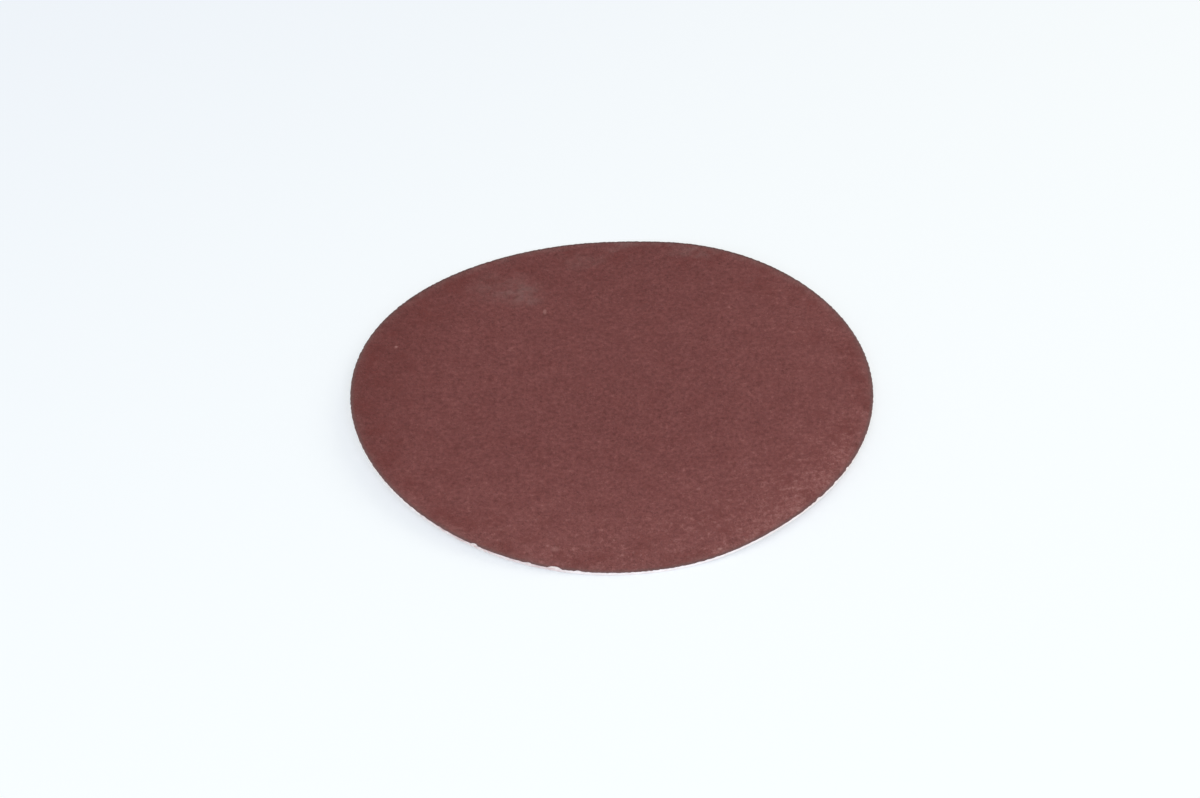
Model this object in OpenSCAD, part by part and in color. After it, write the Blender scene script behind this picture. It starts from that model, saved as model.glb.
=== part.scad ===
// Sanding disc, lying as it has curled: a coat of abrasive grain on a pale backing sheet.
//
// The sheet is bent about one straight axis only, as paper bends. A strip in the middle lies flat
// on the table, the left side rises in one arc, and the right side rises and levels off again.
// Seen along that axis, the sheet is a chain of stretches, each tangent to the last.
//
// Millimetres, +Z up. The origin is the middle of the disc, on the plane that it rests on.

/* [Disc] */
// Diameter of the disc, seen from above
disc_d = 125; // [75:1:180]
// Thickness of the backing sheet, with the loop pile under it
backing_t = 0.8; // [0.3:0.05:1.5]
// Thickness of the abrasive coat, resin and grain together
coat_t = 0.25; // [0.1:0.05:0.6]

/* [Bend] */
// Width of the straight strip that lies flat
rest_w = 8; // [4:1:30]
// Turn of the strip from the Y axis, seen from above, in degrees
bend_turn = 7.3; // [-45:0.1:45]
// Radius at which the left side rises
left_rise_r = 400; // [200:5:800]
// Radius at which the right side rises
right_rise_r = 180; // [120:5:400]
// Slope that the right side reaches, in degrees
right_slope = 6; // [1:0.5:9]
// Radius at which the right side levels off again
right_level_r = 300; // [120:5:400]
// Length of the flats that the bends are drawn in
flat_l = 1.5; // [0.75:0.25:4]

/* [Wear] */
// Width along the rim of the widest chip in the coat
chip_w = 3.4; // [1:0.1:6]
// Depth of that chip, in from the rim
chip_depth = 0.7; // [0.2:0.05:1.5]

/* [Hidden] */
$fn = 180;

// Heights in the sheet, from its underside
backing_top = backing_t;
coat_top = backing_top + coat_t;

// How far the bent sheet and the tools that trim it reach past what they have to
spare = 2;
reach = disc_d / 2 + spare;

// Angle that takes the left rise out to the rim
left_rise_a = asin((reach - rest_w / 2) / left_rise_r);

// Centres of the two bends on the right, and how far out and up they take the sheet
right_rise_centre = [rest_w / 2, right_rise_r];
right_level_centre = right_rise_centre
    + (right_rise_r + right_level_r) * [sin(right_slope), -cos(right_slope)];
sides_rise = right_level_centre[1] + right_level_r;
tail_end = max(reach, right_level_centre[0] + spare);

// Room over the sheet for the tools that trim it
trim_h = left_rise_r * (1 - cos(left_rise_a)) + sides_rise + coat_top + 2 * spare;

// Chips at the rim, each [angle from +X, share of the widest chip's width, share of its depth]
chips = [
    [239.7, 0.55, 0.80],
    [252.0, 0.50, 0.40],
    [257.5, 1.00, 1.00],
    [262.4, 0.60, 0.45],
    [318.0, 0.50, 0.45],
    [324.4, 0.45, 0.35],
    [329.4, 0.40, 0.35]
];

// Radius of a round bite of width w and depth d
function bite_r(w, d) = (w * w / 4 + d * d) / (2 * d);

// Number of flats in a bend of radius r through angle a
function flats(r, a) = ceil(r * a * PI / 180 / flat_l);

// Points round a centre, from the angle start to the angle end, both measured from straight down
function arc(centre, r, start, end, n, first = 0) =
    [for (i = [first : n])
        let (a = start + (end - start) * i / n)
            centre + r * [sin(a), -cos(a)]];

// Left rise at height h above the underside, from beyond the rim in to the resting strip
function left_rise(h) =
    arc([-rest_w / 2, left_rise_r], left_rise_r - h, -left_rise_a, 0,
        flats(left_rise_r, left_rise_a));

// Right rise at height h, out from the resting strip
function right_rise(h) =
    arc(right_rise_centre, right_rise_r - h, 0, right_slope,
        flats(right_rise_r, right_slope));

// Bend at height h in which the right side levels off, from the end of the right rise
function right_level(h) =
    arc(right_level_centre, right_level_r + h, 180 + right_slope, 180,
        flats(right_level_r, right_slope), 1);

// The whole sheet seen edge-on, at height h above its underside, from left to right
function sheet_line(h) =
    concat(left_rise(h), right_rise(h), right_level(h), [[tail_end, sides_rise + h]]);

function reversed(list) = [for (i = [len(list) - 1 : -1 : 0]) list[i]];

// One round layer of the bent sheet, between heights lo and hi above its underside
module bent_layer(lo, hi) {
    intersection() {
        rotate([90, 0, bend_turn])
            linear_extrude(height = 2 * reach, center = true)
                polygon(concat(sheet_line(lo), reversed(sheet_line(hi))));
        translate([0, 0, -spare])
            cylinder(d = disc_d, h = trim_h);
    }
}

// Round bite out of the rim, at an angle from +X
module bite(angle, w, d) {
    r = bite_r(w, d);
    rotate(angle)
        translate([disc_d / 2 - d + r, 0, -spare])
            cylinder(r = r, h = trim_h);
}

// Red-brown grain in its resin, broken away here and there along the front rim
module abrasive_coat() {
    color([0.46, 0.28, 0.27])
        difference() {
            bent_layer(backing_top, coat_top);
            for (chip = chips)
                bite(chip[0], chip_w * chip[1], chip_depth * chip[2]);
        }
}

// Pale sheet with a brushed loop pile underneath
module backing() {
    color([0.88, 0.83, 0.80])
        bent_layer(0, backing_top);
}

abrasive_coat();
backing();
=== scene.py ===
"""Sanding disc, as it lies curled on a pale table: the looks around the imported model.

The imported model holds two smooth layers, the abrasive coat and the backing sheet. This script
models both again with the roughness that they have: a coat with a rough bed of resin and grain,
a chipped rim and angular grains that stand proud of the bed, and a backing with a frayed cut
edge and a brushed pile underneath.

Each layer is modelled flat, at its height above the underside of the sheet, and is then laid on
the bend, which is the same chain of arcs as in the part's source. Lengths are in metres, unless
a docstring says millimetres.
"""

import logging
import math
from collections.abc import Iterator, Mapping, Sequence
from contextlib import contextmanager
from dataclasses import dataclass
from enum import Enum

import bpy
import numpy as np
from mathutils import Matrix, Vector


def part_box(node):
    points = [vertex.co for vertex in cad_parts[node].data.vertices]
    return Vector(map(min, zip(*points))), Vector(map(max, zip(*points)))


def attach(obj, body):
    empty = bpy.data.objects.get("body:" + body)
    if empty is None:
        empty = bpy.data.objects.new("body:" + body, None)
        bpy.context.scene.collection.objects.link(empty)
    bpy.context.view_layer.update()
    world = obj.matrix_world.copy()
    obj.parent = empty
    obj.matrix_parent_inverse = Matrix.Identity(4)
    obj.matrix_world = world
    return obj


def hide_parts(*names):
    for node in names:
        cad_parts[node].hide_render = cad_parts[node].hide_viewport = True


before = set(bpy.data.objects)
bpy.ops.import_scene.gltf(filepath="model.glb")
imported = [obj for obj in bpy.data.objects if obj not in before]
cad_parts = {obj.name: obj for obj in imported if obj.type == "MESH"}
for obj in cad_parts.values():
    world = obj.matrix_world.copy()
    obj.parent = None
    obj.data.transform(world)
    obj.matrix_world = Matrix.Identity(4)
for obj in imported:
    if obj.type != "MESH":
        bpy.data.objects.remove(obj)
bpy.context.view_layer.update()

MM = 0.001
log = logging.getLogger("sanding_disc")

Triple = tuple[float, float, float]
Colour = Triple
Span = tuple[float, float]
HALF: Triple = (0.5, 0.5, 0.5)


def srgb(red: float, green: float, blue: float) -> Colour:
    """Turn a colour as a picture shows it into the linear one that a material takes.

    Args:
        red: Red, from 0 to 255.
        green: Green, from 0 to 255.
        blue: Blue, from 0 to 255.

    Returns:
        The linear colour, each part from 0 to 1.
    """
    toe, knee, knee_slope, lift, power = 0.04045, 1.055, 12.92, 0.055, 2.4
    shares = (value / 255 for value in (red, green, blue))
    return tuple(
        share / knee_slope if share <= toe else ((share + lift) / knee) ** power
        for share in shares
    )


class Slot(Enum):
    """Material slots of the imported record."""

    COAT = "abrasive_coat"
    BACKING = "backing"


class Roughening(Enum):
    """Kinds of relief that a surface is roughened with."""

    GRAINS = "VORONOI"
    LUMPS = "CLOUDS"


@dataclass(frozen=True)
class Bend:
    """The bend of the sheet: flat in the middle, one arc on the left, two on the right.

    A strip rest_w wide lies flat, and its turn is the one from the Y axis, seen from above. The
    left side rises at left_rise_r. The right side rises at right_rise_r up to right_slope, and
    levels off again at right_level_r.
    """

    rest_w: float = 8 * MM
    turn: float = math.radians(7.3)
    left_rise_r: float = 400 * MM
    right_rise_r: float = 180 * MM
    right_slope: float = math.radians(6)
    right_level_r: float = 300 * MM

    def height(self, across: np.ndarray, above: np.ndarray) -> np.ndarray:
        """Work out how high points of the sheet lie.

        Args:
            across: Distance of each point from the middle line of the resting strip.
            above: Height of each point above the underside, square to the sheet.

        Returns:
            The height of each point above the table.
        """
        half = self.rest_w / 2
        left_r = self.left_rise_r - above
        rise_r = self.right_rise_r - above
        level_r = self.right_level_r + above
        both = self.right_rise_r + self.right_level_r
        level_at = half + both * math.sin(self.right_slope)
        level_centre = self.right_rise_r - both * math.cos(self.right_slope)
        rise_end = half + rise_r * math.sin(self.right_slope)
        left = self.left_rise_r - np.sqrt(left_r**2 - (across + half) ** 2)
        rise = self.right_rise_r - np.sqrt(rise_r**2 - (across - half) ** 2)
        level = level_centre + np.sqrt(level_r**2 - (across - level_at) ** 2)
        return np.select(
            [across < -half, across <= half, across <= rise_end, across < level_at],
            [left, above, rise, level],
            level_centre + level_r,
        )

    def lay(self, piece: bpy.types.Object) -> None:
        """Lay a flat piece on the bend; its vertices keep their places seen from above."""
        spots = points_of(piece)
        across = spots[:, 0] * math.cos(self.turn) + spots[:, 1] * math.sin(self.turn)
        spots[:, 2] = self.height(across, spots[:, 2])
        move_points(piece, spots)


@dataclass(frozen=True)
class Chip:
    """A chip out of the coat's rim, at an angle from +X in degrees; sizes in millimetres."""

    angle: float
    width: float
    depth: float

    def bite(self, angles: np.ndarray, radius: float) -> np.ndarray:
        """Work out how deep the chip is at each angle of the rim, in radians."""
        turned = np.angle(np.exp(1j * (angles - math.radians(self.angle))))
        share = np.abs(turned) * radius / (self.width / 2 * MM)
        return self.depth * MM * np.clip(1 - share**2, 0, None)


@dataclass(frozen=True)
class Rim:
    """The ragged edge of one layer: fine raggedness all round, and chips.

    The raggedness is a sum of waves, each with between coarsest and finest ripples round the
    rim. The outermost part of the layer, as wide as the margin, is drawn in with the edge.
    """

    radius: float
    raggedness: float
    chips: tuple[Chip, ...] = ()
    finest: int = 330
    coarsest: int = 45
    waves: int = 60
    margin: float = 2.4 * MM
    seed: int = 4

    def cut(self, angles: np.ndarray) -> np.ndarray:
        """Work out how far in from its full radius the layer ends at each angle."""
        draw = np.random.default_rng(self.seed)
        lobes = draw.integers(self.coarsest, self.finest, self.waves)
        phases = draw.uniform(0, 2 * math.pi, self.waves)
        ripple = np.sin(angles[:, None] * lobes + phases).sum(axis=1) / math.sqrt(self.waves)
        ragged = self.raggedness * np.clip(1 + ripple, 0, None) / 2
        bites = [chip.bite(angles, self.radius) for chip in self.chips]
        return np.maximum.reduce([ragged, *(bite + ragged / 2 for bite in bites)])

    def trim(self, piece: bpy.types.Object) -> None:
        """Draw the outermost part of a flat piece in to the ragged edge."""
        spots = points_of(piece)
        reach = np.hypot(spots[:, 0], spots[:, 1])
        share = np.clip((reach - self.radius + self.margin) / self.margin, 0, None) ** 2
        cut = self.cut(np.arctan2(spots[:, 1], spots[:, 0]))
        scale = 1 - share * cut / np.maximum(reach, self.margin)
        spots[:, :2] *= scale[:, None]
        move_points(piece, spots)


@dataclass(frozen=True)
class Relief:
    """One scale of roughness, pressed into a surface along its normals.

    Attributes:
        kind: Whether it looks like grains or like lumps.
        size: About how wide they are.
        depth: How far they stand out, or in if it is below 0.
        middle: Share of the depth that the surface moves the other way.
    """

    kind: Roughening
    size: float
    depth: float
    middle: float = 0.5

    def press(self, piece: bpy.types.Object, group: str) -> None:
        """Roughen a piece.

        Args:
            piece: The piece, flat and at the origin.
            group: Vertex group that says how much each vertex takes part.
        """
        texture = bpy.data.textures.new(f"{piece.name}_{self.kind.name.lower()}", self.kind.value)
        texture.noise_scale = self.size
        rough = piece.modifiers.new("relief", "DISPLACE")
        rough.texture = texture
        rough.texture_coords = "LOCAL"
        rough.vertex_group = group
        rough.strength = self.depth
        rough.mid_level = self.middle
        select_only(piece)
        bpy.ops.object.modifier_apply(modifier=rough.name)


def points_of(piece: bpy.types.Object) -> np.ndarray:
    """Read the vertices of a piece as rows of x, y and z."""
    spots = np.empty(3 * len(piece.data.vertices), dtype=np.float32)
    piece.data.vertices.foreach_get("co", spots)
    return spots.reshape(-1, 3).astype(float)


def move_points(piece: bpy.types.Object, spots: np.ndarray) -> None:
    """Move the vertices of a piece to new places."""
    piece.data.vertices.foreach_set("co", spots.astype(np.float32).ravel())
    piece.data.update()


def corners_of(piece: bpy.types.Object) -> np.ndarray:
    """Read which vertex each corner of each face is at."""
    corners = np.empty(len(piece.data.loops), dtype=np.int32)
    piece.data.loops.foreach_get("vertex_index", corners)
    return corners


def from_above(spots: np.ndarray, reach: float) -> np.ndarray:
    """Place points on a map as seen from above, so that a circle of a radius fills it."""
    margin = 1.01
    return spots[:, :2] / (2 * margin * reach) + 0.5


def set_map(piece: bpy.types.Object, places: np.ndarray) -> None:
    """Give a piece the map that its colours are kept on, a place for each face corner."""
    layer = piece.data.uv_layers.new(name="OFBake")
    layer.uv.foreach_set("vector", places.astype(np.float32).ravel())


def select_only(piece: bpy.types.Object) -> None:
    """Select and activate one object and nothing else."""
    bpy.ops.object.select_all(action="DESELECT")
    piece.select_set(True)
    bpy.context.view_layer.objects.active = piece


@contextmanager
def editing(piece: bpy.types.Object) -> Iterator[None]:
    """Work on a piece in edit mode, with nothing selected in it at the start."""
    select_only(piece)
    bpy.ops.object.mode_set(mode="EDIT")
    bpy.ops.mesh.select_mode(type="EDGE")
    bpy.ops.mesh.select_all(action="DESELECT")
    try:
        yield
    finally:
        bpy.ops.object.mode_set(mode="OBJECT")


def select_open_edges() -> None:
    """Select the open edges of the mesh in edit mode, and nothing else."""
    bpy.ops.mesh.select_all(action="DESELECT")
    bpy.ops.mesh.select_non_manifold(
        extend=False, use_wire=False, use_boundary=True, use_multi_face=False,
        use_non_contiguous=False, use_verts=False,
    )


@dataclass(frozen=True)
class RoundField:
    """A flat round field of nearly even triangles, made from a six-sided one.

    Its cuts are the number of cuts in each edge, one subdivision after the other.
    """

    radius: float
    cuts: tuple[int, ...]
    sides: int = 6

    def build(self, name: str, height: float) -> bpy.types.Object:
        """Model the field.

        Args:
            name: Name of the new object.
            height: Height of the field above the underside of the sheet.

        Returns:
            The field, facing up.
        """
        bpy.ops.object.select_all(action="DESELECT")
        bpy.ops.mesh.primitive_circle_add(
            vertices=self.sides, radius=self.radius, fill_type="TRIFAN", location=(0, 0, height)
        )
        field = bpy.context.object
        field.name = field.data.name = name
        bpy.ops.object.transform_apply(location=True, rotation=True, scale=True)
        with editing(field):
            bpy.ops.mesh.select_all(action="SELECT")
            for count in self.cuts:
                bpy.ops.mesh.subdivide(number_cuts=count)
        self.round_off(field)
        return field

    def round_off(self, field: bpy.types.Object) -> None:
        """Move each ring of the six-sided field out to a circle."""
        least_reach = 1e-3 * MM
        spots = points_of(field)
        facing = 2 * math.pi / self.sides * np.arange(self.sides)
        flat_reach = (spots[:, :2] @ np.stack([np.cos(facing), np.sin(facing)])).max(axis=1)
        reach = np.hypot(spots[:, 0], spots[:, 1])
        ring = flat_reach / math.cos(math.pi / self.sides)
        scale = ring / np.maximum(reach, least_reach)
        spots[:, :2] *= scale[:, None]
        move_points(field, spots)


@dataclass(frozen=True)
class Layer:
    """A closed round layer, still flat, between two heights above the sheet's underside.

    Attributes:
        top_cuts: Cuts of the field that its top is made of.
        under_cuts: Cuts of the field that its underside is made of.
        edge_round: Width of its rounded edges, which are half as high.
        top_shows: Whether its top is the side that shows.
        wall_rows: Number of rows of faces in its wall.
        under_margin: Width of the outermost ring of the underside.
        wall_stretch: How wide the wall is on the map, as a multiple of its height.
    """

    radius: float
    low: float
    high: float
    top_cuts: tuple[int, ...]
    under_cuts: tuple[int, ...]
    edge_round: float
    top_shows: bool = True
    wall_rows: int = 3
    under_margin: float = 0.6 * MM
    wall_stretch: float = 2.0

    def build(self, name: str) -> bpy.types.Object:
        """Model the layer: a top, a wall with rounded edges and an underside.

        Args:
            name: Name of the new object.

        Returns:
            The closed layer, with its normals outwards.
        """
        top_r = self.radius - self.edge_round
        layer = RoundField(top_r, self.top_cuts).build(name, self.high)
        under = RoundField(top_r - self.under_margin, self.under_cuts).build("under", self.low)
        with editing(under):
            bpy.ops.mesh.select_all(action="SELECT")
            bpy.ops.mesh.flip_normals()
        drop = self.edge_round / 2
        step = (self.high - self.low - 2 * drop) / self.wall_rows
        with editing(layer):
            select_open_edges()
            self.step_down(drop, self.radius / top_r)
            for _ in range(self.wall_rows):
                self.step_down(step, 1)
            self.step_down(drop, top_r / self.radius)
        select_only(layer)
        under.select_set(True)
        bpy.ops.object.join()
        with editing(layer):
            select_open_edges()
            bpy.ops.mesh.bridge_edge_loops()
            bpy.ops.mesh.select_all(action="SELECT")
            bpy.ops.mesh.normals_make_consistent(inside=False)
        self.map_sides(layer)
        return layer

    @staticmethod
    def step_down(drop: float, widen: float) -> None:
        """Extrude the selected rim down by a step and widen it by a factor."""
        bpy.ops.mesh.extrude_edges_move(TRANSFORM_OT_translate={"value": (0, 0, -drop)})
        bpy.ops.transform.resize(value=(widen, widen, 1), center_override=(0, 0, 0))

    def map_sides(self, layer: bpy.types.Object) -> None:
        """Lay out the map that the layer's colours are kept on.

        The side that shows fills a circle, and the wall is a ring round it. The hidden side goes
        small into a corner.
        """
        corner_middle, corner_r, away = 0.92, 0.07, -0.5
        spots = points_of(layer)
        reach = np.hypot(spots[:, 0], spots[:, 1])
        depth = self.high - spots[:, 2] if self.top_shows else spots[:, 2] - self.low
        on_rim = reach > self.radius - self.edge_round - self.under_margin / 2
        widened = 1 + on_rim * depth * self.wall_stretch / np.maximum(reach, self.radius / 2)
        full = self.radius + (self.high - self.low) * self.wall_stretch
        shown = from_above(spots * widened[:, None], full)
        hidden = spots[:, :2] / self.radius * corner_r + corner_middle
        faces = layer.data.polygons
        normals = np.empty(3 * len(faces), dtype=np.float32)
        faces.foreach_get("normal", normals)
        sizes = np.empty(len(faces), dtype=np.int32)
        faces.foreach_get("loop_total", sizes)
        rise = normals.reshape(-1, 3)[:, 2] * (1 if self.top_shows else -1)
        turned_away = np.repeat(rise < away, sizes)[:, None]
        corners = corners_of(layer)
        set_map(layer, np.where(turned_away, hidden[corners], shown[corners]))


def weigh(piece: bpy.types.Object, group: str, weights: np.ndarray) -> str:
    """Give a piece a vertex group.

    Args:
        piece: The piece.
        group: Name of the group.
        weights: Weight of each vertex, brought between 0 and 1 and rounded here.

    Returns:
        The name of the group.
    """
    decimals = 2
    rounded = np.round(np.clip(weights, 0, 1), decimals)
    made = piece.vertex_groups.new(name=group)
    for weight in np.unique(rounded):
        made.add(np.flatnonzero(rounded == weight).tolist(), float(weight), "REPLACE")
    return made.name


class Value:
    """A number on its way through a tree of nodes; sums on it add their Math nodes."""

    def __init__(self, tree: "Nodes", socket: bpy.types.NodeSocket) -> None:
        """Keep the tree and the socket that gives the value."""
        self.tree = tree
        self.socket = socket

    def __add__(self, other: "Value | float") -> "Value":
        """Add."""
        return self.tree.math("ADD", self, other)

    def __sub__(self, other: "Value | float") -> "Value":
        """Subtract."""
        return self.tree.math("SUBTRACT", self, other)

    def __mul__(self, other: "Value | float") -> "Value":
        """Multiply."""
        return self.tree.math("MULTIPLY", self, other)

    def __radd__(self, other: float) -> "Value":
        """Add to a plain number."""
        return self.tree.math("ADD", other, self)

    def __rsub__(self, other: float) -> "Value":
        """Subtract from a plain number."""
        return self.tree.math("SUBTRACT", other, self)

    def output(self, name: str) -> "Value":
        """Take another output of the node that gives this value."""
        return Value(self.tree, self.socket.node.outputs[name])


class Nodes:
    """A tree of nodes that is written as expressions."""

    def __init__(self, tree: bpy.types.NodeTree) -> None:
        """Start with an empty tree."""
        self.tree = tree
        tree.nodes.clear()

    def node(
        self,
        kind: str,
        settings: Mapping[str, object] | None = None,
        inputs: Mapping[str | int, object] | None = None,
        output: str | int = 0,
    ) -> Value:
        """Add a node.

        Args:
            kind: Blender's name of the node type.
            settings: Its settings; "stops" holds a ramp's places and colours.
            inputs: A value, or a plain number, vector or colour, for each named socket.
            output: Name or number of the output that is wanted.

        Returns:
            That output.
        """
        made = self.tree.nodes.new(kind)
        for key, value in (settings or {}).items():
            if key == "stops":
                self.set_stops(made.color_ramp, value)
            else:
                setattr(made, key, value)
        for key, value in (inputs or {}).items():
            self.feed(made.inputs[key], value)
        return Value(self, (made.outputs or made.inputs)[output])

    def feed(self, socket: bpy.types.NodeSocket, value: object) -> None:
        """Link a value to a socket, or set the socket to a plain one."""
        if isinstance(value, Value):
            self.tree.links.new(value.socket, socket)
        elif isinstance(value, tuple) and len(value) < len(socket.default_value):
            socket.default_value = (*value, 1)
        else:
            socket.default_value = value

    @staticmethod
    def set_stops(ramp: bpy.types.ColorRamp, stops: Sequence[tuple[float, Colour]]) -> None:
        """Set the places and colours of a ramp."""
        while len(ramp.elements) < len(stops):
            ramp.elements.new(1)
        for element, (place, colour) in zip(ramp.elements, stops):
            element.position = place
            element.color = (*colour, 1)

    def math(self, operation: str, *terms: Value | float) -> Value:
        """Add a Math node on some numbers."""
        return self.node("ShaderNodeMath", {"operation": operation}, dict(enumerate(terms)))

    def smooth(self, value: Value, start: float, end: float) -> Value:
        """Rise smoothly from 0 to 1 as a value goes from start to end."""
        return self.node(
            "ShaderNodeMapRange",
            {"interpolation_type": "SMOOTHSTEP"},
            {"Value": value, "From Min": start, "From Max": end},
        )

    def blend(self, share: Value | float, first: Value | Colour, second: Value | Colour) -> Value:
        """Mix two colours: none of the second at share 0, all of it at 1."""
        share_in, first_in, second_in, colour_out = 0, 6, 7, 2
        return self.node(
            "ShaderNodeMix",
            {"data_type": "RGBA"},
            {share_in: share, first_in: first, second_in: second},
            colour_out,
        )

    def place(self) -> Value:
        """Give the place on the object."""
        return self.node("ShaderNodeTexCoord", output="Object")

    def cells(self, place: Value, size: float) -> Value:
        """Give the middle of the nearest grain, for grains of about a size."""
        inputs = {"Vector": place, "Scale": 1 / size}
        return self.node("ShaderNodeTexVoronoi", inputs=inputs, output="Position")

    def facets(self, place: Value, cells: Value, size: float) -> Value:
        """Give the height over the flat tops of the grains, each of which leans its own way.

        Args:
            place: The place on the object.
            cells: The middle of the nearest grain.
            size: About how wide a grain is.

        Returns:
            The height, as a share of a grain's width.
        """
        fall = 0.4
        offset = self.vector("SUBTRACT", place, cells)
        lean = self.vector("SUBTRACT", cells.output("Color"), HALF)
        tip = self.vector("DOT_PRODUCT", offset, lean, output="Value")
        return tip * (1 / size) - cells.output("Distance") * fall

    def vector(self, operation: str, *terms: Value | Triple, output: str | int = 0) -> Value:
        """Add a Vector Math node on some vectors."""
        return self.node(
            "ShaderNodeVectorMath", {"operation": operation}, dict(enumerate(terms)), output
        )

    def flattened(self, place: Value) -> Value:
        """Drop the height from a place."""
        return self.vector("MULTIPLY", place, (1.0, 1.0, 0.0))

    def length(self, place: Value) -> Value:
        """Give the distance of a place from the origin."""
        return self.vector("LENGTH", place, output="Value")

    def near_rim(self, flat: Value, radius: float, start: float, end: float = 0.0) -> Value:
        """Rise from 0 to 1 towards the rim, between two distances inside it."""
        return self.smooth(self.length(flat), radius - start, radius - end)

    def bump(self, height: Value, depth: float) -> Value:
        """Turn a height from 0 to 1 into a normal, for roughness of some depth."""
        return self.node("ShaderNodeBump", inputs={"Distance": depth, "Height": height})

    def show(self, share: Value | float, lit: Value, plain: Value) -> Value:
        """Let a share of a plain shader stand in for a lit one where the camera sees it.

        Args:
            share: How much of the plain shader shows.
            lit: The shader that lights the object.
            plain: The shader that the camera sees, also in mirrors and through glass.

        Returns:
            The mixed shader.
        """
        path = self.node("ShaderNodeLightPath", output="Is Camera Ray")
        seen = path + path.output("Is Glossy Ray") + path.output("Is Transmission Ray")
        seen = self.math("MINIMUM", seen, 1.0)
        return self.node("ShaderNodeMixShader", inputs={0: seen * share, 1: lit, 2: plain})


@dataclass(frozen=True)
class Noise:
    """Smooth noise from 0 to 1.

    Attributes:
        size: About how wide its patches are.
        detail: Number of finer noises that are added.
        rough: Strength of each finer noise, as a share of the one before.
    """

    size: float
    detail: float = 2
    rough: float = 0.5

    def at(self, nodes: Nodes, place: Value) -> Value:
        """Give the noise at a place."""
        scale = {"Scale": 1 / self.size, "Detail": self.detail, "Roughness": self.rough}
        return nodes.node("ShaderNodeTexNoise", inputs={"Vector": place} | scale, output="Fac")


@dataclass(frozen=True)
class Side:
    """A change towards one side of the disc, which is at an angle from +X in degrees.

    It starts at one distance from the middle and comes to its strength at another, both in
    millimetres. A strength below 0 makes less of something.
    """

    angle: float
    start: float
    end: float
    strength: float = 1.0

    def share(self, nodes: Nodes, place: Value) -> Value:
        """Give the change at a place, from 0 to its strength."""
        turn = math.radians(self.angle)
        way = (math.cos(turn), math.sin(turn), 0.0)
        along = nodes.vector("DOT_PRODUCT", place, way, output="Value")
        return nodes.smooth(along, self.start * MM, self.end * MM) * self.strength


@dataclass(frozen=True)
class Patch:
    """A soft oval patch on the disc, seen from above.

    It has a middle, a length and a width, all in millimetres, a turn from +X in degrees, and a
    strength, which is how much of it shows in the middle.
    """

    x: float
    y: float
    length: float
    width: float
    turn: float
    strength: float

    def share(self, nodes: Nodes, place: Value) -> Value:
        """Give the share of the patch at a place, from its strength in the middle to 0."""
        inner, outer = 0.25, 1.0
        local = nodes.node(
            "ShaderNodeMapping",
            {"vector_type": "TEXTURE"},
            {
                "Vector": place,
                "Location": (self.x * MM, self.y * MM, 0.0),
                "Rotation": (0.0, 0.0, math.radians(self.turn)),
                "Scale": (self.length / 2 * MM, self.width / 2 * MM, 1.0),
            },
        )
        return (1 - nodes.smooth(nodes.length(local), inner, outer)) * self.strength


@dataclass(frozen=True)
class Finish:
    """A finish that is worked out from the place on the object."""

    name: str
    roughness: float
    shine: float

    def material(self) -> bpy.types.Material:
        """Make the material of this finish."""
        made = bpy.data.materials.new(self.name)
        made.use_nodes = True
        nodes = Nodes(made.node_tree)
        surface = {"Roughness": self.roughness, "Specular IOR Level": self.shine}
        shader = nodes.node("ShaderNodeBsdfPrincipled", inputs=surface | self.surface(nodes))
        nodes.node("ShaderNodeOutputMaterial", inputs={"Surface": shader})
        return made

    def surface(self, nodes: Nodes) -> dict[str, Value]:
        """Give what varies over the surface, for the shader's sockets."""
        raise NotImplementedError


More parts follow.
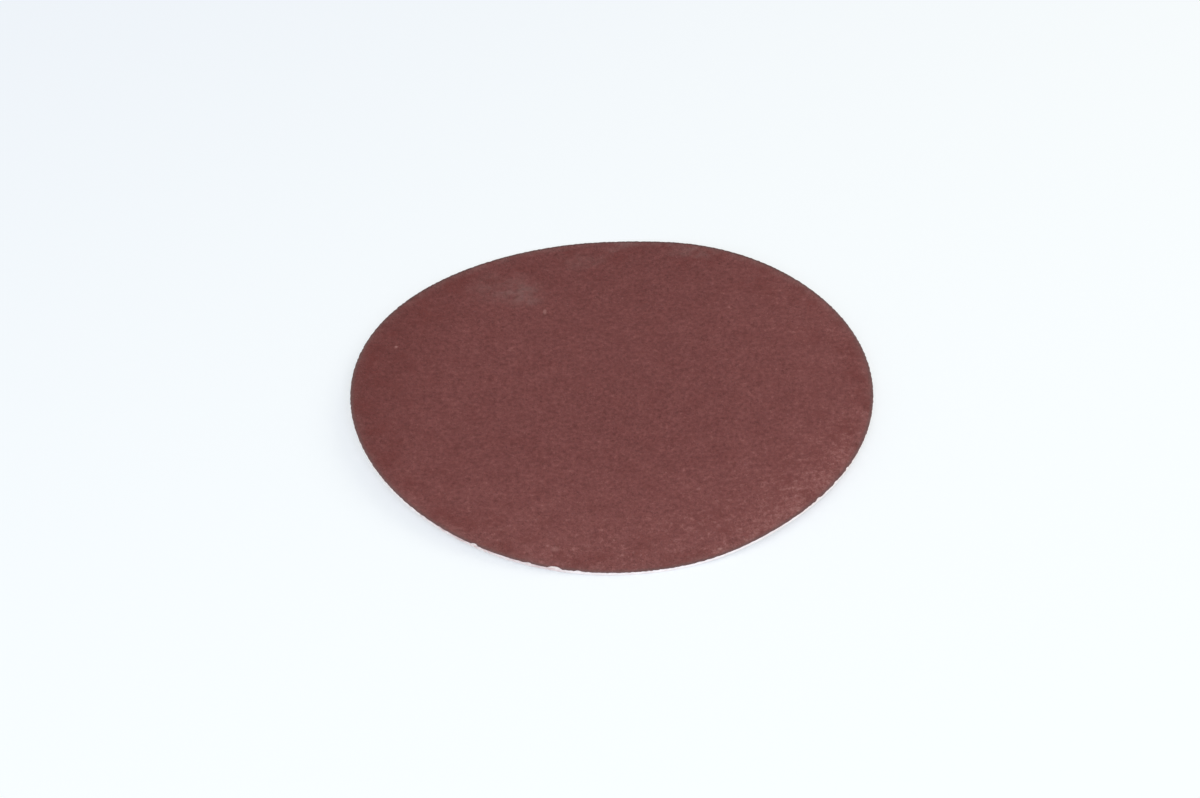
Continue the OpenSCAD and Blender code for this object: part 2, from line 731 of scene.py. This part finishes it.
@dataclass(frozen=True)
class GritFinish(Finish):
    """Red-brown grain in resin: matt, finely speckled, and paler at the front with painted light.

    The tone of the grain goes from 0, dark, to 1, pale. It starts at own_tone, and then each
    grain, noises of three sizes and changes by side alter it: painted light and shade make it
    lighter towards the front and right and darker towards the back, and it is also darker
    towards the left rim. The resin is richer in patches and near the rim, and the coat is darker
    and redder towards the left. Dust lies on the front, where it also stands in for a painted
    sheen, along the rim, more of it at the back, and in smudges that noise makes ragged. A thin
    line runs round the rim, darker on the far side. Specks are bare of grain.

    Names that end in _ends say between which levels a noise counts, from none of it to all, and
    names that end in _w are widths in from the rim.
    """

    radius: float = 62.5 * MM
    grain: float = 0.34 * MM
    grain_contrast: float = 0.22
    cluster: Noise = Noise(1.2 * MM, 1)
    cluster_contrast: float = 0.42
    fleck: Noise = Noise(1.7 * MM, 0)
    fleck_ends: Span = (0.62, 0.80)
    fleck_light: float = 0.08
    mottle: Noise = Noise(5.5 * MM, 3, 0.6)
    mottle_contrast: float = 0.26
    relief: float = 0.28 * MM
    roughness_swing: float = 0.25
    tone_attribute: str = ""
    own_tone: float = 0.515
    # Changes of tone by side: painted light and shade, lighter towards the front and right and
    # darker towards the back; the first one darkens the left rim.
    painted_light_sides: tuple[Side, ...] = (
        Side(166, 38, 64, -0.11),
        Side(95, 20, 64, -0.06),
        Side(280, 10, 64, 0.125),
        Side(0, 0, 64, 0.065),
        Side(325, 46, 63, 0.075),
    )
    tones: tuple[tuple[float, Colour], ...] = (
        (0.00, srgb(74, 36, 33)),
        (0.30, srgb(105, 56, 53)),
        (0.50, srgb(124, 70, 67)),
        (0.70, srgb(141, 84, 80)),
        (1.00, srgb(182, 126, 119)),
    )
    rich: Colour = srgb(115, 57, 53)
    rich_patches: Noise = Noise(7 * MM, 3, 0.6)
    rich_ends: Span = (0.42, 0.68)
    rich_inside: float = 0.18
    rich_rim: float = 0.4
    rich_rim_w: float = 17.5 * MM
    # darker and redder towards the left rim
    rich_left: Side = Side(166, 34, 62, 0.22)
    rim_line: Colour = srgb(117, 88, 85)
    rim_line_far: Colour = srgb(98, 70, 68)
    rim_line_w: float = 1.1 * MM
    rim_line_end: float = 0.1 * MM
    rim_line_strength: float = 0.85
    far_side: Side = Side(95, 15, 55)
    # Pale colour of the dusty places; at the front it also stands in for a painted sheen.
    dust_and_sheen: Colour = srgb(155, 129, 123)
    dust_patches: Noise = Noise(2.6 * MM)
    dust_ends: Span = (0.34, 0.66)
    dust_least: float = 0.25
    dust_more: float = 0.5
    # Dusty front, where it also stands in for a painted sheen.
    front_dust_and_sheen: Side = Side(265, 30, 66, 0.04)
    fringe: float = 0.171
    fringe_w: float = 3.4 * MM
    fringe_back: Side = Side(80, 0, 58, 0.19)
    stray: float = 9.5 * MM
    stray_drift: Noise = Noise(6.5 * MM)
    bare: Colour = srgb(176, 126, 119)
    smudges: tuple[Patch, ...] = (
        Patch(-26.5, 42.5, 27, 19, -12, 0.17),
        Patch(-21.5, 39.0, 15, 14, -16, 0.20),
        Patch(20.8, 55.0, 17, 7, -12, 0.24),
        Patch(3.1, 59.5, 14, 5, 0, 0.20),
        Patch(-7.5, 54.0, 15, 9, 10, 0.15),
    )
    specks: tuple[Patch, ...] = (
        Patch(-16.4, 33.0, 1.3, 3.0, 0, 0.55),
        Patch(-52.6, 16.7, 1.1, 1.2, 0, 0.70),
        Patch(23.4, -55.9, 1.6, 1.2, 20, 0.90),
        Patch(-13.4, -54.7, 2.8, 2.4, 0, 0.34),
        Patch(41.5, -45.5, 1.2, 1.0, 40, 0.80),
    )

    def surface(self, nodes: Nodes) -> dict[str, Value]:
        """Give the colour, roughness and fine relief of the grain."""
        place = nodes.place()
        flat = nodes.flattened(place)
        cells = nodes.cells(flat, self.grain)
        tone = self.tone(nodes, flat, cells)
        colour = nodes.node("ShaderNodeValToRGB", {"stops": self.tones}, {"Fac": tone})
        colour = nodes.blend(self.richness(nodes, flat), colour, self.rich)
        colour = nodes.blend(self.dust_and_sheen_share(nodes, flat), colour, self.dust_and_sheen)
        for speck in self.specks:
            colour = nodes.blend(speck.share(nodes, flat), colour, self.bare)
        far = self.far_side.share(nodes, flat)
        line_colour = nodes.blend(far, self.rim_line, self.rim_line_far)
        line = nodes.near_rim(flat, self.radius, self.rim_line_w, self.rim_line_end)
        colour = nodes.blend(line * self.rim_line_strength, colour, line_colour)
        rough = self.roughness + (tone - 0.5) * self.roughness_swing
        height = nodes.facets(flat, cells, self.grain)
        normal = nodes.bump(height, self.relief)
        return {"Base Color": colour, "Roughness": rough, "Normal": normal}

    def tone(self, nodes: Nodes, flat: Value, cells: Value) -> Value:
        """Give how light the grain is at a place, from 0 to 1."""
        if self.tone_attribute:
            own = nodes.node(
                "ShaderNodeAttribute", {"attribute_name": self.tone_attribute}, output="Fac"
            )
        else:
            own = cells.output("Color")
        tone = self.own_tone + (own - 0.5) * self.grain_contrast
        tone += (self.cluster.at(nodes, flat) - 0.5) * self.cluster_contrast
        tone += nodes.smooth(self.fleck.at(nodes, flat), *self.fleck_ends) * self.fleck_light
        tone += (self.mottle.at(nodes, flat) - 0.5) * self.mottle_contrast
        # painted light and shade by side, and a darker left rim
        for shade in self.painted_light_sides:
            tone += shade.share(nodes, flat)
        return tone

    def richness(self, nodes: Nodes, flat: Value) -> Value:
        """Give how resin-red the coat is, more near the rim, and how much darker and redder it is
        on the left.
        """
        patches = nodes.smooth(self.rich_patches.at(nodes, flat), *self.rich_ends)
        rim = nodes.near_rim(flat, self.radius, self.rich_rim_w)
        left = self.rich_left.share(nodes, flat)
        return patches * (self.rich_inside + rim * self.rich_rim) + left

    def dust_and_sheen_share(self, nodes: Nodes, flat: Value) -> Value:
        """Give how dusty the coat is: at the front, where it also paints a sheen, along the rim
        and in ragged smudges.
        """
        drift = self.stray_drift.at(nodes, flat).output("Color")
        shift = nodes.vector("SUBTRACT", drift, HALF)
        strayed = nodes.vector("MULTIPLY_ADD", shift, (self.stray, self.stray, 0.0), flat)
        # dusty front, together with a painted sheen there
        share = self.front_dust_and_sheen.share(nodes, flat)
        fringe = nodes.near_rim(flat, self.radius, self.fringe_w)
        share += fringe * (self.fringe + self.fringe_back.share(nodes, flat))
        for patch in self.smudges:
            share += patch.share(nodes, strayed)
        patchy = nodes.smooth(self.dust_patches.at(nodes, flat), *self.dust_ends)
        return nodes.math("MINIMUM", share * (self.dust_least + patchy * self.dust_more), 1.0)


@dataclass(frozen=True)
class SheetFinish(Finish):
    """Pale backing sheet: a pinkish-white cut edge in short streaks, a brushed pile below.

    Fibres lighten it, streaks leave stains on it, and painted shade darkens its rim towards the
    lower left.
    """

    radius: float = 62.5 * MM
    body: Colour = srgb(255, 243, 238)
    bright: Colour = srgb(255, 251, 247)
    # Colour of the streak stains, and of the painted shade on the rim towards the lower left.
    stain_and_shade: Colour = srgb(218, 192, 188)
    fibre: Noise = Noise(0.35 * MM, 4, 0.7)
    fibre_ends: Span = (0.45, 0.75)
    fibre_light: float = 0.7
    streak: Noise = Noise(2.8 * MM, 3, 0.65)
    streak_ends: Span = (0.36, 0.64)
    streak_stain: float = 0.3
    # Painted shade: it darkens the rim towards the lower left.
    painted_shade_side: Side = Side(243, 57.5, 61.5)
    painted_shade_w: float = 0.25 * MM
    painted_shade_end: float = 0.08 * MM
    painted_shade_streaks: float = 0.3
    painted_shade_depth: float = 0.4
    relief: float = 0.09 * MM
    roughness_swing: float = 0.2

    def surface(self, nodes: Nodes) -> dict[str, Value]:
        """Give the colour and fine relief of the sheet."""
        place = nodes.place()
        flat = nodes.flattened(place)
        fibres = self.fibre.at(nodes, place)
        light = nodes.smooth(fibres, *self.fibre_ends) * self.fibre_light
        colour = nodes.blend(light, self.body, self.bright)
        # painted shade on the rim towards the lower left, with more of the streaks there
        painted_shade = self.painted_shade_side.share(nodes, place)
        painted_shade *= nodes.near_rim(flat, self.radius, self.painted_shade_w, self.painted_shade_end)
        streaks = 1 - nodes.smooth(self.streak.at(nodes, place), *self.streak_ends)
        stain_and_shade_share = streaks * (self.streak_stain + painted_shade * self.painted_shade_streaks)
        colour = nodes.blend(stain_and_shade_share + painted_shade * self.painted_shade_depth, colour, self.stain_and_shade)
        rough = self.roughness + (fibres - 0.5) * self.roughness_swing
        normal = nodes.bump(fibres, self.relief)
        return {"Base Color": colour, "Roughness": rough, "Normal": normal}


@dataclass(frozen=True)
class Grains:
    """Angular grains that stand proud of the bed, all of one make.

    Attributes:
        spacing: Least distance between two grains.
        per_area: Most grains in a square metre.
        rings: Number of rings of faces in a grain.
        jitter: How far its corners are knocked about, as a share of its size.
        lean: How far it leans at most, in radians.
        least_scale: Its least length, width and height, as shares of its size.
        most_scale: Its greatest length, width and height.
    """

    name: str
    size: float
    spacing: float
    per_area: float
    rings: int
    jitter: float
    seed: int
    lean: float = 0.5
    least_scale: Triple = (0.7, 0.7, 0.35)
    most_scale: Triple = (1.3, 1.3, 0.7)

    def model_one(self) -> bpy.types.Object:
        """Model one grain: a sharp crystal with its corners knocked about."""
        bpy.ops.object.select_all(action="DESELECT")
        bpy.ops.mesh.primitive_uv_sphere_add(
            segments=4, ring_count=self.rings, radius=self.size / 2
        )
        grain = bpy.context.object
        grain.name = "one_grain"
        with editing(grain):
            bpy.ops.mesh.select_all(action="SELECT")
            bpy.ops.transform.vertex_random(
                offset=self.size * self.jitter, uniform=0, normal=0, seed=self.seed
            )
            bpy.ops.mesh.quads_convert_to_tris()
            bpy.ops.mesh.normals_make_consistent(inside=False)
        return grain

    def scatter(self, field: bpy.types.Object) -> bpy.types.Object:
        """Strew copies of the grain over a field.

        Args:
            field: The field that the grains stand in. It becomes the grains.

        Returns:
            The grains, as one mesh with a tone for each grain.
        """
        grain = self.model_one()
        group = bpy.data.node_groups.new(f"{self.name}_strewn", "GeometryNodeTree")
        for way in ("INPUT", "OUTPUT"):
            group.interface.new_socket(
                name="Geometry", in_out=way, socket_type="NodeSocketGeometry"
            )
        nodes = Nodes(group)
        surface = nodes.node("NodeGroupInput")
        spots = nodes.node(
            "GeometryNodeDistributePointsOnFaces",
            {"distribute_method": "POISSON"},
            {
                "Mesh": surface,
                "Distance Min": self.spacing,
                "Density Max": self.per_area,
                "Seed": self.seed,
            },
        )
        single = nodes.node("GeometryNodeObjectInfo", inputs={"Object": grain}, output="Geometry")
        least_turn, most_turn = (-self.lean, -self.lean, 0.0), (self.lean, self.lean, math.tau)
        turned = self.random(nodes, "FLOAT_VECTOR", least_turn, most_turn)
        scaled = self.random(nodes, "FLOAT_VECTOR", self.least_scale, self.most_scale)
        strewn = nodes.node(
            "GeometryNodeInstanceOnPoints",
            inputs={"Points": spots, "Instance": single, "Rotation": turned, "Scale": scaled},
        )
        toned = nodes.node(
            "GeometryNodeStoreNamedAttribute",
            {"domain": "INSTANCE", "data_type": "FLOAT"},
            {"Geometry": strewn, "Name": "tone", "Value": self.random(nodes, "FLOAT", 0.0, 1.0)},
        )
        solid = nodes.node("GeometryNodeRealizeInstances", inputs={"Geometry": toned})
        nodes.node("NodeGroupOutput", inputs={"Geometry": solid})
        strew = field.modifiers.new("strew", "NODES")
        strew.node_group = group
        select_only(field)
        bpy.ops.object.modifier_apply(modifier=strew.name)
        bpy.data.objects.remove(grain)
        return field

    def random(self, nodes: Nodes, kind: str, least: object, most: object) -> Value:
        """Give a random number or vector for each grain, with a seed of its own in this tree."""
        seed = self.seed + len(nodes.tree.nodes)
        low, high, out = (0, 1, 0) if kind == "FLOAT_VECTOR" else (2, 3, 1)
        return nodes.node(
            "FunctionNodeRandomValue",
            {"data_type": kind},
            {low: least, high: most, "Seed": seed},
            out,
        )


@dataclass
class AbrasiveCoat:
    """The abrasive coat: a chipped bed of resin and grain, with grains that stand proud."""

    bend: Bend
    radius: float
    low: float = 0.8 * MM
    thickness: float = 0.25 * MM
    grain_room: float = 0.08 * MM
    chips: tuple[Chip, ...] = (
        Chip(239.7, 1.9, 0.56),
        Chip(252.0, 1.7, 0.28),
        Chip(257.5, 3.4, 0.70),
        Chip(262.4, 2.0, 0.32),
        Chip(318.0, 1.7, 0.32),
        Chip(324.4, 1.5, 0.25),
        Chip(329.4, 1.4, 0.25),
    )
    raggedness: float = 0.12 * MM
    reliefs: tuple[Relief, ...] = (
        Relief(Roughening.LUMPS, 0.9 * MM, 0.05 * MM),
        Relief(Roughening.GRAINS, 0.6 * MM, -0.08 * MM),
    )
    grains: tuple[Grains, ...] = (
        Grains(
            "coarse_grains", size=0.40 * MM, spacing=0.85 * MM, per_area=3.0e6, rings=3,
            jitter=0.14, seed=11,
        ),
        Grains(
            "fine_grains", size=0.28 * MM, spacing=0.74 * MM, per_area=6.0e6, rings=2,
            jitter=0.12, seed=23,
        ),
    )

    def build(self) -> list[bpy.types.Object]:
        """Model and dress the coat.

        Returns:
            The bed and the grains.
        """
        rim = Rim(self.radius, self.raggedness, self.chips)
        bed_top = self.low + self.thickness - self.grain_room
        bed = self.build_bed(rim, bed_top)
        strewn = [self.build_grains(make, rim, bed_top) for make in self.grains]
        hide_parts(Slot.COAT.value)
        bed_finish = GritFinish("grit_bed", roughness=0.82, shine=0.14, radius=self.radius)
        bed.data.materials.append(bed_finish.material())
        grain_finish = GritFinish(
            "grit_grains", roughness=0.72, shine=0.2, radius=self.radius, tone_attribute="tone",
            own_tone=0.55,
        ).material()
        for piece in strewn:
            piece.data.materials.clear()
            piece.data.materials.append(grain_finish)
        for piece in (bed, *strewn):
            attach(piece, "root")
        return [bed, *strewn]

    def build_bed(self, rim: Rim, bed_top: float) -> bpy.types.Object:
        """Model the bed: a thin closed layer, rough above, chipped at the rim."""
        layer = Layer(
            radius=self.radius, low=self.low, high=bed_top, top_cuts=(16, 9), under_cuts=(41,),
            edge_round=0.06 * MM,
        )
        bed = layer.build("grit_bed")
        rise = (points_of(bed)[:, 2] - self.low) / (bed_top - self.low)
        exposed = weigh(bed, "exposed", rise)
        for relief in self.reliefs:
            relief.press(bed, exposed)
        rim.trim(bed)
        self.bend.lay(bed)
        select_only(bed)
        bpy.ops.object.shade_smooth()
        return bed

    def build_grains(self, make: Grains, rim: Rim, bed_top: float) -> bpy.types.Object:
        """Model the grains of one make over the whole bed, up to a grain from its rim."""
        field = RoundField(self.radius - make.size, cuts=(40,)).build(make.name, bed_top)
        strewn = make.scatter(field)
        rim.trim(strewn)
        set_map(strewn, from_above(points_of(strewn), self.radius)[corners_of(strewn)])
        self.bend.lay(strewn)
        return strewn


@dataclass
class Backing:
    """The backing sheet: a frayed cut edge, and a brushed pile underneath."""

    bend: Bend
    radius: float
    thickness: float = 0.8 * MM
    edge_round: float = 0.1 * MM
    raggedness: float = 0.1 * MM
    pile: tuple[Relief, ...] = (
        Relief(Roughening.LUMPS, 0.9 * MM, -0.1 * MM, 0.0),
        Relief(Roughening.GRAINS, 0.7 * MM, -0.05 * MM, 0.0),
    )
    fray: Relief = Relief(Roughening.LUMPS, 0.5 * MM, 0.14 * MM)

    def build(self) -> list[bpy.types.Object]:
        """Model and dress the backing.

        Returns:
            The sheet.
        """
        layer = Layer(
            radius=self.radius, low=0.0, high=self.thickness, top_cuts=(11, 9),
            under_cuts=(11, 9), edge_round=self.edge_round, top_shows=False, wall_rows=5,
        )
        sheet = layer.build("sheet")
        spots = points_of(sheet)
        soft = weigh(sheet, "pile", 1 - spots[:, 2] / self.thickness)
        on_wall = np.hypot(spots[:, 0], spots[:, 1]) > self.radius - self.edge_round / 2
        frayed = weigh(sheet, "edge", on_wall.astype(float))
        for relief in self.pile:
            relief.press(sheet, soft)
        self.fray.press(sheet, frayed)
        Rim(self.radius, self.raggedness, seed=9).trim(sheet)
        self.bend.lay(sheet)
        select_only(sheet)
        bpy.ops.object.shade_smooth()
        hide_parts(Slot.BACKING.value)
        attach(sheet, "root")
        finish = SheetFinish("sheet", roughness=0.85, shine=0.25, radius=self.radius)
        sheet.data.materials.append(finish.material())
        return [sheet]


@dataclass(frozen=True)
class TableFinish:
    """Plain pale table with painted shade, a little darker towards the back left, and light
    shadows on it.
    """

    name: str = "table"
    near: Colour = srgb(253, 255, 255)
    # Painted shade: the colour that the table darkens to towards the back left.
    far: Colour = srgb(246, 249, 254)
    far_side: Side = Side(125, -60, 330)
    shown_flat: float = 0.35
    fade_start: float = 300 * MM
    fade_end: float = 1200 * MM

    def material(self) -> bpy.types.Material:
        """Make the material: part of what the camera sees is the plain colour, unshaded.

        That part grows to all of it far from the disc, where the table meets the sky.
        """
        made = bpy.data.materials.new(self.name)
        made.use_nodes = True
        nodes = Nodes(made.node_tree)
        place = nodes.place()
        # painted shade: darker towards the back left
        colour = nodes.blend(self.far_side.share(nodes, place), self.near, self.far)
        away = nodes.smooth(nodes.length(place), self.fade_start, self.fade_end)
        shown = self.shown_flat + away * (1 - self.shown_flat)
        lit = nodes.node("ShaderNodeBsdfDiffuse", inputs={"Color": colour})
        plain = nodes.node("ShaderNodeEmission", inputs={"Color": colour, "Strength": 1.0})
        mixed = nodes.show(shown, lit, plain)
        nodes.node("ShaderNodeOutputMaterial", inputs={"Surface": mixed})
        return made


@dataclass(frozen=True)
class Softbox:
    """A large square lamp, aimed at the disc.

    It hangs at an azimuth from +X and an elevation above the table, both in degrees. Its level
    is the share of the table's full brightness that it gives.
    """

    name: str
    azimuth: float
    elevation: float
    level: float
    colour: Colour
    distance: float = 1.9
    size: float = 1.3

    def hang(self) -> None:
        """Put the lamp in its place, at a power that gives its level on the table."""
        turn, rise = math.radians(self.azimuth), math.radians(self.elevation)
        away = Vector(
            (math.cos(rise) * math.cos(turn), math.cos(rise) * math.sin(turn), math.sin(rise))
        )
        lamp = bpy.data.lights.new(self.name, "AREA")
        lamp.shape = "SQUARE"
        lamp.size = self.size
        lamp.color = self.colour
        lamp.energy = self.level * math.pi**2 * self.distance**2 / math.sin(rise)
        holder = bpy.data.objects.new(self.name, lamp)
        holder.location = away * self.distance
        holder.rotation_euler = away.to_track_quat("Z", "Y").to_euler()
        bpy.context.scene.collection.objects.link(holder)


@dataclass(frozen=True)
class View:
    """The camera, as it was fitted to the outline of the disc in the photograph.

    It looks down at its elevation, turned by its roll, at a point aim_height over the middle of
    the disc. In a picture picture_w pixels wide, that point shows right_pixels right of the
    middle and up_pixels above it. The sensor's width is in millimetres.
    """

    elevation: float = math.radians(39.249)
    roll: float = math.radians(1.172)
    distance: float = 600 * MM
    aim_height: float = 0.925 * MM
    picture_w: float = 1200.0
    focal_pixels: float = 2495.3
    right_pixels: float = 11.943
    up_pixels: float = 4.902
    sensor: float = 36.0
    nearest: float = 10 * MM

    def set_up(self) -> None:
        """Put the camera in its place and make it the scene's."""
        back = Vector((0, -math.cos(self.elevation), math.sin(self.elevation)))
        up = Vector((0, math.sin(self.elevation), math.cos(self.elevation)))
        right = Vector((1, 0, 0))
        turned_right = right * math.cos(self.roll) - up * math.sin(self.roll)
        turned_up = right * math.sin(self.roll) + up * math.cos(self.roll)
        lens = bpy.data.cameras.new("view")
        lens.sensor_width = self.sensor
        lens.lens = self.sensor * self.focal_pixels / self.picture_w
        lens.shift_x = -self.right_pixels / self.picture_w
        lens.shift_y = -self.up_pixels / self.picture_w
        lens.clip_start = self.nearest
        camera = bpy.data.objects.new("view", lens)
        axes = Matrix((turned_right, turned_up, back)).transposed().to_4x4()
        place = Vector((0, 0, self.aim_height)) + back * self.distance
        camera.matrix_world = Matrix.Translation(place) @ axes
        bpy.context.scene.collection.objects.link(camera)
        bpy.context.scene.camera = camera


@dataclass
class Studio:
    """A pale table, an even sky with two soft lamps, and the camera."""

    table_w: float = 6.0
    table_gap: float = 0.02 * MM
    sky: Colour = (0.64, 0.645, 0.61)
    sky_shown: Colour = srgb(249, 252, 255)
    lamps: tuple[Softbox, ...] = (
        Softbox("key", azimuth=30, elevation=40, level=0.12, colour=(1.0, 0.93, 0.78)),
        Softbox("front", azimuth=-90, elevation=40, level=0.36, colour=(0.61, 0.745, 1.0)),
    )

    def set_up(self) -> None:
        """Build the table, the light and the view."""
        bpy.ops.object.select_all(action="DESELECT")
        bpy.ops.mesh.primitive_plane_add(size=self.table_w, location=(0, 0, -self.table_gap))
        table = bpy.context.object
        table.name = "table"
        bpy.ops.object.transform_apply(location=True, rotation=True, scale=True)
        table.data.materials.append(TableFinish().material())
        world = bpy.data.worlds.new("sky")
        world.use_nodes = True
        nodes = Nodes(world.node_tree)
        light, plain = (
            nodes.node("ShaderNodeBackground", inputs={"Color": colour, "Strength": 1.0})
            for colour in (self.sky, self.sky_shown)
        )
        nodes.node("ShaderNodeOutputWorld", inputs={"Surface": nodes.show(1.0, light, plain)})
        scene = bpy.context.scene
        scene.world = world
        scene.view_settings.view_transform = "Standard"
        for lamp in self.lamps:
            lamp.hang()
        View().set_up()


def main() -> None:
    """Build the disc and its surroundings, and report each piece."""
    logging.basicConfig(level=logging.INFO, format="%(message)s")
    low, high = (Vector(corner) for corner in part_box(Slot.BACKING.value))
    radius = (high.x - low.x) / 2
    bend = Bend()
    for part in (Backing(bend, radius), AbrasiveCoat(bend, radius)):
        for piece in part.build():
            piece.data.calc_loop_triangles()
            log.info("%s: %d triangles", piece.name, len(piece.data.loop_triangles))
    Studio().set_up()


if __name__ == "__main__":
    main()
